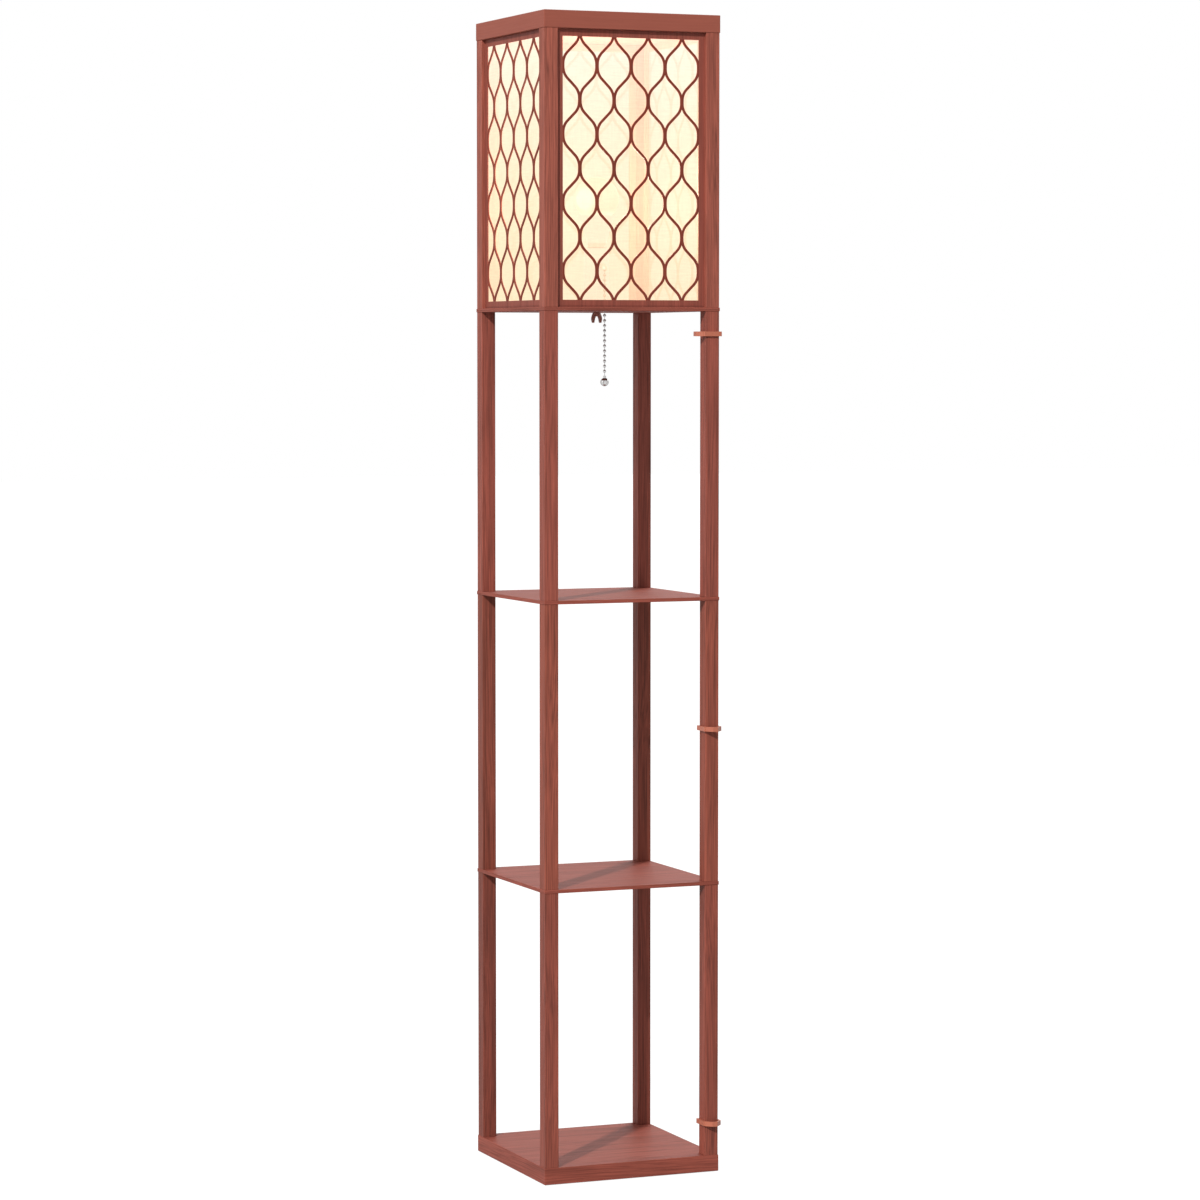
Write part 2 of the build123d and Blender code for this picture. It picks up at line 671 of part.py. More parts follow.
RIM_DROP = GLOBE_Z - RIM_Z
GLOBE_RIM_R = (GLOBE_R**2 - RIM_DROP**2) ** 0.5
INNER_RIM_R = ((GLOBE_R - GLOBE_WALL) ** 2 - RIM_DROP**2) ** 0.5
with BuildPart() as bulb_globe:
    with BuildSketch(Plane.XZ):
        with BuildLine():
            ThreePointArc((GLOBE_RIM_R, RIM_Z), (GLOBE_R, GLOBE_Z), (0, GLOBE_Z + GLOBE_R))
            Line((0, GLOBE_Z + GLOBE_R), (0, GLOBE_Z + GLOBE_R - GLOBE_WALL))
            ThreePointArc(
                (0, GLOBE_Z + GLOBE_R - GLOBE_WALL),
                (GLOBE_R - GLOBE_WALL, GLOBE_Z),
                (INNER_RIM_R, RIM_Z),
            )
            Line((INNER_RIM_R, RIM_Z), (GLOBE_RIM_R, RIM_Z))
        make_face()
    revolve(axis=Axis.Z)
finish(bulb_globe, "bulb_globe")


# ---------------------------------------------------------------- pull chain
def make_chain(top, beads, above, below):
    """Beads on a wire, from a stub above the top bead's centre to one below the last's."""
    last = top - (beads - 1) * BEAD_PITCH
    with BuildPart() as chain:
        with BuildSketch(Plane.XY.offset(last - below)):
            with Locations((0, CHAIN_Y)):
                Circle(LINK_R)
        extrude(amount=top + above - last + below)
        for bead in range(beads):
            with Locations((0, CHAIN_Y, top - bead * BEAD_PITCH)):
                Sphere(BEAD_R)
    return chain


REACH = BEAD_PITCH - BEAD_R - JOINT_GAP  # from a bead's centre to the next stretch's first bead
SWING_TOP = TOP_BEAD - UPPER_BEADS * BEAD_PITCH
LOWER_TOP = SWING_TOP - SWING_BEADS * BEAD_PITCH
finish(make_chain(TOP_BEAD, UPPER_BEADS, 0, REACH), "chain_upper")
finish(make_chain(SWING_TOP, SWING_BEADS, 0, REACH), "chain_swing")
LOWER_LAST = LOWER_TOP - (LOWER_BEADS - 1) * BEAD_PITCH
COLLAR_TOP = BALL_Z + BALL_R + 3
finish(make_chain(LOWER_TOP, LOWER_BEADS, 0, LOWER_LAST - COLLAR_TOP), "chain_lower")

with BuildPart() as end_ball:
    with BuildSketch(Plane.XY.offset(BALL_Z + BALL_R - 0.6)):
        with Locations((0, CHAIN_Y)):
            Circle(2)
    extrude(amount=3.6)
    with Locations((0, CHAIN_Y, BALL_Z)):
        Sphere(BALL_R)
finish(end_ball, "end_ball")
print("chain pivots", SWING_TOP, LOWER_TOP, "last bead", LOWER_LAST)
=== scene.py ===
# %% [markdown]
# # A shelf floor lamp with a lattice shade
#
# The lamp is a square tower of stained posts and thin shelves. Its top storey is a shade: four
# panels with an ogee lattice, linen stretched behind them, and a bulb with a bead pull chain
# inside. The lesson is about finishes, cloth and light. Camera, lamps and floor come first,
# because a finish can only be judged in its light, and then one finish after another.
#
# ## The frame
#
# The wooden pieces and the hardware come from the CAD frame with their true sizes. They could be
# modelled again here, but then two models of one lamp would have to agree, so they are loaded as
# they are. Their box is kept, to compare the sizes at the end.

# %% Load the frame and keep its box
import math

import bpy
from mathutils import Matrix, Vector


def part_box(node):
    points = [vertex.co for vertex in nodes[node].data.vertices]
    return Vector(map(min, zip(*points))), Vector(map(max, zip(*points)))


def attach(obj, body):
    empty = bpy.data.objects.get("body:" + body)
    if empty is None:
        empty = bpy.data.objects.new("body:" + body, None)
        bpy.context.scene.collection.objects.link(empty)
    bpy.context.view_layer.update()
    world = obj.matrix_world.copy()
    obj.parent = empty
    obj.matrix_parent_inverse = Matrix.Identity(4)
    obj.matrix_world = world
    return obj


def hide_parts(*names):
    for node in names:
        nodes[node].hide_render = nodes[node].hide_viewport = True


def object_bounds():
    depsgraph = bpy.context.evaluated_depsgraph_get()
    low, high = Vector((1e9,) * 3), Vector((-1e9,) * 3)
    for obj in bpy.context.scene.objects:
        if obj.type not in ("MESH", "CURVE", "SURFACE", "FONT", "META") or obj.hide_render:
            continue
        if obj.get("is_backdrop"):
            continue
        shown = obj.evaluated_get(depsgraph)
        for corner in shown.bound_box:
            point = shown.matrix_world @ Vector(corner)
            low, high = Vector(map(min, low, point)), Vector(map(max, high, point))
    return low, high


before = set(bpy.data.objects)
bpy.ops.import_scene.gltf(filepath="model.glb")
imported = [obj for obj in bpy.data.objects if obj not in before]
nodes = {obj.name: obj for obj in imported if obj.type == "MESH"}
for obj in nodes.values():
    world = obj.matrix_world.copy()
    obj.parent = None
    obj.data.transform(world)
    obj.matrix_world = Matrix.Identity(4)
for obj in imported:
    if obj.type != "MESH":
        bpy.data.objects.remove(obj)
cad_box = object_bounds()

# %% [markdown]
# ## Camera
#
# Product pictures of tall things are taken from far away with a long lens, so that the uprights
# stay upright. A camera near the lamp would fan them out. This one stands 5.6 m away, a little
# above the middle of the lamp and to the left of its front, and looks down by a little over three
# degrees. A level camera with more shift would keep the uprights exactly parallel, but a large
# shift spoils every other view, so most of it is done by the tilt.

# %% Add the camera
CAMERA_AT = (-2.1246, -5.1640, 1.1347)
CAMERA_TURN = math.radians(22.412)  # to the right of straight ahead
CAMERA_DOWN = math.radians(3.327)
CAMERA_LENS = 119.95
CAMERA_SENSOR = 36
CAMERA_SHIFT = -0.01
CAMERA_REACH = 200

camera_data = bpy.data.cameras.new("camera")
camera_data.lens = CAMERA_LENS
camera_data.sensor_width = CAMERA_SENSOR
camera_data.shift_y = CAMERA_SHIFT
camera_data.clip_end = CAMERA_REACH
camera = bpy.data.objects.new("camera", camera_data)
bpy.context.scene.collection.objects.link(camera)
camera.location = CAMERA_AT
camera.rotation_euler = (math.radians(90) - CAMERA_DOWN, 0, -CAMERA_TURN)
bpy.context.scene.camera = camera
bpy.context.scene.view_settings.view_transform = "Standard"
print("camera at", CAMERA_AT, "lens", CAMERA_LENS)

# %% [markdown]
# ## Studio light
#
# A studio would use one softbox as the key, a weaker one behind the lamp and white boards round
# it. Area lamps could stand in for them, but their light falls off along a tall object, so distant
# lamps are used. The key comes from the front left at 45 degrees. It gives the wood its tone and
# leaves the post at the back in the shade of the post in front of it. The fill comes from behind
# and keeps the back readable, and the side lamp lifts the left side.

# %% Key, fill and side lamps
KEY_FROM = Vector((-1.0, -1.0, 0.95))
KEY_STRENGTH = 3.0
KEY_WIDTH = math.radians(2.0)
FILL_FROM = Vector((1.0, 0.8, 0.9))
FILL_STRENGTH = 1.4
FILL_WIDTH = math.radians(60)
SIDE_FROM = Vector((-1.0, -0.1, 0.35))
SIDE_STRENGTH = 0.35
SIDE_WIDTH = math.radians(50)


def add_sun(name, comes_from, strength, width):
    """A distant lamp that shines from the given direction."""
    data = bpy.data.lights.new(name, "SUN")
    data.energy = strength
    data.angle = width
    lamp = bpy.data.objects.new(name, data)
    lamp.rotation_euler = comes_from.to_track_quat("Z", "Y").to_euler()
    bpy.context.scene.collection.objects.link(lamp)
    return lamp


add_sun("key", KEY_FROM, KEY_STRENGTH, KEY_WIDTH)
add_sun("fill", FILL_FROM, FILL_STRENGTH, FILL_WIDTH)
add_sun("side", SIDE_FROM, SIDE_STRENGTH, SIDE_WIDTH)
print("key", KEY_STRENGTH, "fill", FILL_STRENGTH, "side", SIDE_STRENGTH)

# %% [markdown]
# ## The surround
#
# Round the lamp there is nothing but white. One white world would do that and also light the
# wood, but far too evenly. So the world is white only for the camera, for reflections and through
# glass, and dimmer as a source of light. Light Path tells the rays apart.

# %% Make the surround
SURROUND = 0.42
WHITE = (1, 1, 1, 1)


def add_node(tree, kind, **values):
    """Adds a shader node. A key that names an attribute sets it, any other sets that input."""
    node = tree.nodes.new(kind)
    for key, value in values.items():
        if hasattr(node, key):
            setattr(node, key, value)
        else:
            node.inputs[key.replace("_", " ")].default_value = value
    return node


def is_seen(tree):
    """1 for rays from the camera, from a mirror or through glass, and 0 for all others."""
    path = add_node(tree, "ShaderNodeLightPath")
    mirrored = add_node(tree, "ShaderNodeMath", operation="MAXIMUM")
    tree.links.new(path.outputs["Is Camera Ray"], mirrored.inputs[0])
    tree.links.new(path.outputs["Is Glossy Ray"], mirrored.inputs[1])
    seen = add_node(tree, "ShaderNodeMath", operation="MAXIMUM")
    tree.links.new(mirrored.outputs[0], seen.inputs[0])
    tree.links.new(path.outputs["Is Transmission Ray"], seen.inputs[1])
    return seen.outputs[0]


world = bpy.data.worlds.new("surround")
world.use_nodes = True
bpy.context.scene.world = world
tree = world.node_tree
tree.nodes.clear()
output = add_node(tree, "ShaderNodeOutputWorld")
dim = add_node(tree, "ShaderNodeBackground", Color=WHITE, Strength=SURROUND)
white = add_node(tree, "ShaderNodeBackground", Color=WHITE, Strength=1.0)
choice = add_node(tree, "ShaderNodeMixShader")
tree.links.new(is_seen(tree), choice.inputs[0])
tree.links.new(dim.outputs[0], choice.inputs[1])
tree.links.new(white.outputs[0], choice.inputs[2])
tree.links.new(choice.outputs[0], output.inputs[0])
print("surround", SURROUND)

# %% [markdown]
# ## Floor
#
# The lamp stands on a plain pale floor with only a soft shadow. Pure paint would turn grey away
# from the key, and a pure glow would lose the shadow, so for the camera the floor is mostly an
# even white and the rest is lit paint. As a source of light it is darker, like a floor that has
# the dim surround over it, so that the undersides of the shelves stay dark.

# %% Lay the floor
FLOOR_SIZE = 60
FLOOR_PAINT = (0.82, 0.82, 0.82, 1)
FLOOR_DIM = (0.36, 0.36, 0.36, 1)
FLOOR_WHITE = 1.16
FLOOR_SHARE = 0.78


def nothing_selected():
    """Operators act on all that is selected, so each piece starts from an empty selection."""
    if bpy.context.object and bpy.context.object.mode != "OBJECT":
        bpy.ops.object.mode_set(mode="OBJECT")
    bpy.ops.object.select_all(action="DESELECT")


nothing_selected()
bpy.ops.mesh.primitive_plane_add(size=FLOOR_SIZE, location=(0, 0, 0))
floor = bpy.context.object
floor.name = "floor"
paint = bpy.data.materials.new("floor_paint")
paint.use_nodes = True
tree = paint.node_tree
tree.nodes.clear()
output = add_node(tree, "ShaderNodeOutputMaterial")
matt = add_node(tree, "ShaderNodeBsdfDiffuse")
glow = add_node(tree, "ShaderNodeEmission", Color=WHITE, Strength=FLOOR_WHITE)
seen = is_seen(tree)
tone = add_node(tree, "ShaderNodeMix", data_type="RGBA")
tree.links.new(seen, tone.inputs[0])
tone.inputs[6].default_value = FLOOR_DIM
tone.inputs[7].default_value = FLOOR_PAINT
tree.links.new(tone.outputs[2], matt.inputs["Color"])
share = add_node(tree, "ShaderNodeMath", operation="MULTIPLY")
share.inputs[1].default_value = FLOOR_SHARE
mixed = add_node(tree, "ShaderNodeMixShader")
tree.links.new(seen, share.inputs[0])
tree.links.new(share.outputs[0], mixed.inputs[0])
tree.links.new(matt.outputs[0], mixed.inputs[1])
tree.links.new(glow.outputs[0], mixed.inputs[2])
tree.links.new(mixed.outputs[0], output.inputs[0])
floor.data.materials.append(paint)
floor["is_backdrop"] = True
print("floor", FLOOR_SIZE, "m")

# %% [markdown]
# ## Tools for finishes
#
# An effect that several finishes share, such as wood grain, is a node group: a small machine with
# named inputs and outputs. The nodes could be copied into each material instead, but then each
# change would have to be made in all of them. A group gives only colours and values. The shader
# itself stays in each material, with its plain numbers on its own sockets.


# %% A helper that makes node groups
def new_group(name, inputs, outputs):
    """A shader node group with its input and output nodes. inputs gives each default value."""
    group = bpy.data.node_groups.new(name, "ShaderNodeTree")
    for label, (kind, value) in inputs.items():
        made = group.interface.new_socket(name=label, in_out="INPUT", socket_type=kind)
        if value is not None:
            made.default_value = value
    for label, kind in outputs.items():
        group.interface.new_socket(name=label, in_out="OUTPUT", socket_type=kind)
    start = group.nodes.new("NodeGroupInput")
    end = group.nodes.new("NodeGroupOutput")
    return group, start.outputs, end.inputs


print("groups can be made")

# %% [markdown]
# Most nodes in a pattern do arithmetic. Placed one by one they take four lines each, so these
# helpers place a node, fill it with sockets or plain numbers, and hand back its result. A pattern
# then reads like a sum.


# %% Helpers for arithmetic
def math_node(tree, operation, first, second=None, third=None, clamp=False):
    """A Math node. Each operand is a socket to link or a plain number."""
    node = add_node(tree, "ShaderNodeMath", operation=operation, use_clamp=clamp)
    for slot, operand in enumerate((first, second, third)):
        if operand is None:
            continue
        if isinstance(operand, (int, float)):
            node.inputs[slot].default_value = operand
        else:
            tree.links.new(operand, node.inputs[slot])
    return node.outputs[0]


def vector_node(tree, operation, first, second):
    """A Vector Math node. Each operand is a socket to link or three plain numbers."""
    node = add_node(tree, "ShaderNodeVectorMath", operation=operation)
    for slot, operand in enumerate((first, second)):
        if isinstance(operand, (tuple, list)):
            node.inputs[slot].default_value = operand
        else:
            tree.links.new(operand, node.inputs[slot])
    return node.outputs[0]


def join_vector(tree, *parts):
    """A vector from up to three values. A part that is None stays 0."""
    node = add_node(tree, "ShaderNodeCombineXYZ")
    for slot, part in enumerate(parts):
        if part is not None:
            tree.links.new(part, node.inputs[slot])
    return node.outputs[0]


print("arithmetic helpers ready")

# %% [markdown]
# Noise makes a finish uneven, and colours are then mixed by it. Both nodes could be placed by
# hand, but a Mix node has several sockets of the same name, one for each kind of value, so that
# they are picked by number. Three more helpers keep those numbers out of the patterns.


# %% Helpers for noise and colours
def noise_node(tree, vector, detail=2.0):
    """A Noise Texture's value, from 0 to 1, for a vector that is already stretched."""
    node = add_node(tree, "ShaderNodeTexNoise", Scale=1.0, Detail=detail, Roughness=0.5)
    tree.links.new(vector, node.inputs["Vector"])
    return node.outputs["Fac"]


def mix_colours(tree, factor, first, second, blend="MIX"):
    """A Mix node for colours. Each operand is a socket to link or a plain value."""
    node = add_node(tree, "ShaderNodeMix", data_type="RGBA", blend_type=blend)
    for slot, operand in ((0, factor), (6, first), (7, second)):
        if isinstance(operand, (int, float, tuple, list)):
            node.inputs[slot].default_value = operand
        else:
            tree.links.new(operand, node.inputs[slot])
    return node.outputs[2]


def spread(tree, value, low, high):
    """Spreads a value that runs from 0 to 1 over low to high."""
    node = add_node(tree, "ShaderNodeMapRange")
    tree.links.new(value, node.inputs["Value"])
    node.inputs["To Min"].default_value = low
    node.inputs["To Max"].default_value = high
    return node.outputs["Result"]


print("noise and colour helpers ready")

# %% [markdown]
# ## Wood grain
#
# The posts are red-brown stained wood with a fine straight grain: streaks under a millimetre wide,
# broader bands that wander a little, and short dark pores. A wave texture could draw the bands,
# but its lines repeat. Three noises do it here, each one stretched many times along the grain, and
# a fourth bends the lines sideways. Start moves the pattern, to get another cut of the same wood.

# %% The grain group
WANDER_CELLS = (9, 9, 2.4)  # in a metre, across the grain and along it
WANDER_WIDTH = 0.03
BAND_CELLS = (75, 75, 2.2)
STREAK_CELLS = (620, 620, 10)
PORE_CELLS = (1000, 1000, 40)
BAND_SHARE = 0.32  # the streaks have the rest
GRAIN_CRISPNESS = 3.0
PORE_CRISPNESS = 7.0
PORE_START = 2.6  # a pore is where its noise times the crispness is below this
PORE_DARK = 0.5
STREAK_ROUGH = (0.72, 0.54)
STREAK_HEIGHT = 0.6

grain, given, gives = new_group(
    "wood_grain",
    {
        "Vector": ("NodeSocketVector", None),
        "Light": ("NodeSocketColor", (0.5, 0.3, 0.2, 1)),
        "Dark": ("NodeSocketColor", (0.3, 0.15, 0.1, 1)),
        "Start": ("NodeSocketFloat", 0.0),
    },
    {"Color": "NodeSocketColor", "Rough": "NodeSocketFloat", "Height": "NodeSocketFloat"},
)
offset = join_vector(grain, given["Start"], None, given["Start"])
placed = vector_node(grain, "ADD", given["Vector"], offset)
wander = noise_node(grain, vector_node(grain, "MULTIPLY", placed, WANDER_CELLS), detail=1)
sideways = math_node(grain, "MULTIPLY_ADD", wander, WANDER_WIDTH, -WANDER_WIDTH / 2)
bent = vector_node(grain, "ADD", placed, join_vector(grain, sideways, sideways))
bands = noise_node(grain, vector_node(grain, "MULTIPLY", bent, BAND_CELLS), detail=2)
streaks = noise_node(grain, vector_node(grain, "MULTIPLY", bent, STREAK_CELLS), detail=3)
pores = noise_node(grain, vector_node(grain, "MULTIPLY", bent, PORE_CELLS), detail=1)
streak_part = math_node(grain, "MULTIPLY", streaks, 1 - BAND_SHARE)
both = math_node(grain, "MULTIPLY_ADD", bands, BAND_SHARE, streak_part)
from_middle = math_node(grain, "SUBTRACT", 0.5, both)
early = math_node(grain, "MULTIPLY_ADD", from_middle, GRAIN_CRISPNESS, 0.5, clamp=True)
stained = mix_colours(grain, early, given["Light"], given["Dark"])
pore_mask = math_node(grain, "MULTIPLY_ADD", pores, -PORE_CRISPNESS, PORE_START, clamp=True)
pore_dark = math_node(grain, "MULTIPLY", pore_mask, PORE_DARK)
grain.links.new(mix_colours(grain, pore_dark, stained, given["Dark"]), gives["Color"])
grain.links.new(spread(grain, streaks, *STREAK_ROUGH), gives["Rough"])
ridges = math_node(grain, "MULTIPLY", streaks, STREAK_HEIGHT)
grain.links.new(math_node(grain, "SUBTRACT", ridges, pore_dark), gives["Height"])
print("group", grain.name)

# %% [markdown]
# Boards have their grain along their length, and their edges are faced with strips whose grain
# runs along the edge. Each face could have a material of its own, but a CAD mesh has one for the
# whole piece. So a second group chooses the direction from the face that a point lies on: on faces
# to the left and right the grain runs front to back, elsewhere from left to right. It also tells
# the undersides, which are never polished, from the rest.

# %% The board direction group
SIDE_FACING = 0.6  # how far a face's normal points to the left or right
UNDER_FACING = -0.5


def split_vector(tree, vector):
    """The three parts of a vector."""
    node = add_node(tree, "ShaderNodeSeparateXYZ")
    tree.links.new(vector, node.inputs[0])
    return node.outputs


board_way, given, gives = new_group(
    "board_direction", {}, {"Vector": "NodeSocketVector", "Polish": "NodeSocketFloat"}
)
here = add_node(board_way, "ShaderNodeTexCoord")
place = split_vector(board_way, here.outputs["Object"])
facing = split_vector(board_way, here.outputs["Normal"])
sideways = math_node(board_way, "ABSOLUTE", facing[0])
to_side = math_node(board_way, "GREATER_THAN", sideways, SIDE_FACING)
chosen = add_node(board_way, "ShaderNodeMix", data_type="VECTOR")
board_way.links.new(to_side, chosen.inputs[0])
board_way.links.new(join_vector(board_way, place[1], place[2], place[0]), chosen.inputs[4])
board_way.links.new(join_vector(board_way, place[0], place[2], place[1]), chosen.inputs[5])
board_way.links.new(chosen.outputs[1], gives["Vector"])
not_under = math_node(board_way, "GREATER_THAN", facing[2], UNDER_FACING)
board_way.links.new(not_under, gives["Polish"])
print("group", board_way.name)

# %% [markdown]
# Every finish starts from one Principled shader and ends on the pieces that wear it. Four small
# helpers do those steps, so that each finish below shows only what is special about it.


# %% Helpers that start and finish a material
def start_material(name, **sockets):
    """A material with one Principled shader, whose plain numbers are set on its own sockets."""
    material = bpy.data.materials.new(name)
    material.use_nodes = True
    tree = material.node_tree
    tree.nodes.clear()
    output = add_node(tree, "ShaderNodeOutputMaterial")
    shader = add_node(tree, "ShaderNodeBsdfPrincipled")
    for label, value in sockets.items():
        shader.inputs[label.replace("_", " ")].default_value = value
    tree.links.new(shader.outputs[0], output.inputs[0])
    return material, tree, shader


def add_bump(tree, shader, height, depth, strength=1.0):
    """Relief from a height value, which is depth metres from its 0 to its 1."""
    bump = add_node(tree, "ShaderNodeBump", Strength=strength, Distance=depth)
    tree.links.new(height, bump.inputs["Height"])
    tree.links.new(bump.outputs[0], shader.inputs["Normal"])


def use_group(tree, group, **values):
    """Places a node group in a material, with its own values."""
    node = add_node(tree, "ShaderNodeGroup")
    node.node_tree = group
    for label, value in values.items():
        node.inputs[label].default_value = value
    return node


def paint_nodes(material, names):
    """Gives carried-over CAD nodes a material."""
    for name in names:
        nodes[name].data.materials.clear()
        nodes[name].data.materials.append(material)
    print(material.name, "on", len(names))


# %% [markdown]
# ## Stained posts
#
# The posts are cut from many lengths of wood and stained before the lamp is put together. One
# material for all would make them look like one casting. So each storey has its own tone and its
# own start in the grain. Four posts at the back are darker still, and that darkness is painted
# shade. The boards are polished: a thin coat over the stain, which their undersides don't have.

# %% Stain the posts
POST_TONES = {  # the mean colour of the posts in each storey, from the floor up
    1: (0.218, 0.053, 0.034),
    2: (0.250, 0.062, 0.038),
    3: (0.250, 0.062, 0.041),
    4: (0.290, 0.077, 0.050),
}
POSTS_IN_PAINTED_SHADE = {  # posts at the back, darkened as painted shade, with their share of the storey's tone
    "post_1_back_left": 0.76,
    "post_2_back_left": 0.74,
    "post_2_back_right": 0.86,
    "post_3_back_left": 0.97,
}
POST_CONTRAST = 0.48
POST_START = 7.3  # from one storey's start in the grain to the next
GRAIN_DEPTH = 0.00012
SATIN = 0.27
BOARD_SATIN = 0.06
POLISH = 0.12
POLISH_ROUGH = 0.4


def stain(name, tone, contrast, begins, boards, depth=GRAIN_DEPTH):
    """A stained wood around a mean colour, with its grain upright or along the boards."""
    gloss = BOARD_SATIN if boards else SATIN
    material, tree, shader = start_material(name, Specular_IOR_Level=gloss)
    light = (*[part * (1 + contrast) for part in tone], 1)
    dark = (*[part * (1 - contrast) for part in tone], 1)
    wood = use_group(tree, grain, Light=light, Dark=dark, Start=begins)
    if boards:
        way = use_group(tree, board_way)
        tree.links.new(way.outputs["Vector"], wood.inputs["Vector"])
        polish = math_node(tree, "MULTIPLY", way.outputs["Polish"], POLISH)
        tree.links.new(polish, shader.inputs["Coat Weight"])
        shader.inputs["Coat Roughness"].default_value = POLISH_ROUGH
    else:
        way = add_node(tree, "ShaderNodeTexCoord")
        tree.links.new(way.outputs["Object"], wood.inputs["Vector"])
    tree.links.new(wood.outputs["Color"], shader.inputs["Base Color"])
    tree.links.new(wood.outputs["Rough"], shader.inputs["Roughness"])
    add_bump(tree, shader, wood.outputs["Height"], depth)
    return material


for storey, tone in POST_TONES.items():
    posts = [n for n in nodes if n.startswith(f"post_{storey}_") and n not in POSTS_IN_PAINTED_SHADE]
    begins = storey * POST_START
    paint_nodes(stain(f"stained_post_{storey}", tone, POST_CONTRAST, begins, False), posts)
# the posts at the back get a darker copy of their storey's stain, as painted shade
for name, share in POSTS_IN_PAINTED_SHADE.items():
    storey = int(name.split("_")[1])
    tone = [part * share for part in POST_TONES[storey]]
    begins = storey * POST_START
    paint_nodes(stain(f"stained_{name}", tone, POST_CONTRAST, begins, False), [name])

# %% [markdown]
# ## Boards
#
# The shelves and the base are stained like the posts, and the lamp shelf is a little lighter. The
# top board has a smooth face with hardly any grain. Each could have its own nodes, but the same
# function makes them all with other numbers. The dowels under the top board are bare wood, since
# nobody stains what is inside a joint.

# %% Stain the boards
BOARD_CONTRAST = 0.36
BOARDS = {  # name: tone, contrast, start in the grain, depth of the grain and the pieces
    "stained_board": (
        (0.250, 0.063, 0.043),
        BOARD_CONTRAST,
        2.0,
        GRAIN_DEPTH,
        ["base_board", "lower_shelf", "upper_shelf"],
    ),
    "stained_lamp_shelf": (
        (0.275, 0.073, 0.050), BOARD_CONTRAST, 3.0, GRAIN_DEPTH, ["lamp_shelf"]
    ),
    "smooth_board": ((0.305, 0.087, 0.059), 0.06, 5.0, 0.00003, ["top_board"]),
}
BARE_TONE = (0.52, 0.36, 0.20)
BARE_CONTRAST = 0.25
BARE_START = 12.0

for name, (tone, contrast, begins, depth, worn_by) in BOARDS.items():
    paint_nodes(stain(name, tone, contrast, begins, True, depth), worn_by)
bare = stain("bare_wood", BARE_TONE, BARE_CONTRAST, BARE_START, False)
paint_nodes(bare, ["top_board_dowels"])

# %% [markdown]
# ## Lattice
#
# The lattice is one piece with the frame of its panel, and its thin strips are darker and redder
# than the frame. On the frame, where the strips run out at each joint, they leave faint raised
# lines, and the shade beside them is painted on as darker marks. Along the foot, where the panel
# meets the shelf, a painted shade darkens the frame a little. A painter would mask these areas,
# and so do the nodes: they compare a point's place with a few sizes. Whichever way a panel faces,
# the smaller of |x| and |y| is the distance from its middle line, so the same masks fit all four
# panels.

# %% Find the strips, the shaded marks and the shaded foot
LATTICE_TONE = (0.245, 0.060, 0.040)
LATTICE_CONTRAST = 0.22
LATTICE_START = 9.0
FRAME_SIDE = 0.0089  # width of the frame's uprights
FRAME_END = 0.0098  # and of its rails
JOINT_PITCH = 0.0502
JOINT_HALF = 0.00245
# height of the painted shade along the foot of the frame
FOOT_SHADE_HIGH = 0.0028

low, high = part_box("lattice_front")
shaded_lattice_stain = stain("stained_lattice", LATTICE_TONE, LATTICE_CONTRAST, LATTICE_START, False)
tree = shaded_lattice_stain.node_tree
place = split_vector(tree, add_node(tree, "ShaderNodeTexCoord").outputs["Object"])
from_left = math_node(tree, "ABSOLUTE", place[0])
from_front = math_node(tree, "ABSOLUTE", place[1])
aside = math_node(tree, "MINIMUM", from_left, from_front)
within = math_node(tree, "LESS_THAN", aside, high.x - FRAME_SIDE)
above = math_node(tree, "GREATER_THAN", place[2], low.z + FRAME_END)
below = math_node(tree, "LESS_THAN", place[2], high.z - FRAME_END)
strip_mask = math_node(tree, "MULTIPLY", within, math_node(tree, "MULTIPLY", above, below))
pitches = math_node(tree, "FRACT", math_node(tree, "MULTIPLY", aside, 1 / JOINT_PITCH))
from_joint = math_node(tree, "ABSOLUTE", math_node(tree, "SUBTRACT", pitches, 0.5))
joint_mask = math_node(tree, "LESS_THAN", from_joint, JOINT_HALF / JOINT_PITCH)
# painted shade beside the faint raised lines where the strips run out on the frame
relief_shade_mask = math_node(tree, "MULTIPLY", within, joint_mask)
# painted shade along the foot of the frame, where the panel meets the shelf
foot_shade_mask = math_node(tree, "LESS_THAN", place[2], low.z + FOOT_SHADE_HIGH)
print("strips within", round(high.x - FRAME_SIDE, 4), "m of the middle line")

# %% [markdown]
# Each mask then multiplies the stain by its own share. A mix towards a new colour would cover the
# grain, and multiplying keeps it. The strips' share is redder than grey, so that the strips come
# out darker and redder than the frame. The shares of the marks and of the foot are grey: there
# the darkening is painted shade.

# %% Stain the lattice and paint its shade
STRIP_SHARE = (0.78, 0.54, 0.44, 1)
# the marks and the foot are darkened as painted shade
RELIEF_SHADE_SHARE = (0.88, 0.88, 0.88, 1)
FOOT_SHADE_SHARE = (0.80, 0.80, 0.80, 1)
LATTICES = [f"lattice_{side}" for side in ("front", "left", "back", "right")]

shader = next(node for node in tree.nodes if node.type == "BSDF_PRINCIPLED")
stain_with_shade = shader.inputs["Base Color"].links[0].from_socket
# multiplies in the strips' colour and the painted shade of the marks and of the foot
for mask, share in ((strip_mask, STRIP_SHARE), (relief_shade_mask, RELIEF_SHADE_SHARE), (foot_shade_mask, FOOT_SHADE_SHARE)):
    stain_with_shade = mix_colours(tree, mask, stain_with_shade, share, blend="MULTIPLY")
tree.links.new(stain_with_shade, shader.inputs["Base Color"])
paint_nodes(shaded_lattice_stain, LATTICES)

# %% [markdown]
# The strips behind the linen are never seen directly. They could have the lattice's stain, but
# would then show through the cloth as dark bars. They got one thin coat, and their paler wood
# shows as a soft band at each corner.

# %% Stain the strips behind the linen
BACKING_TONE = (0.35, 0.13, 0.085)
BACKING_CONTRAST = 0.22
BACKING_START = 13.0

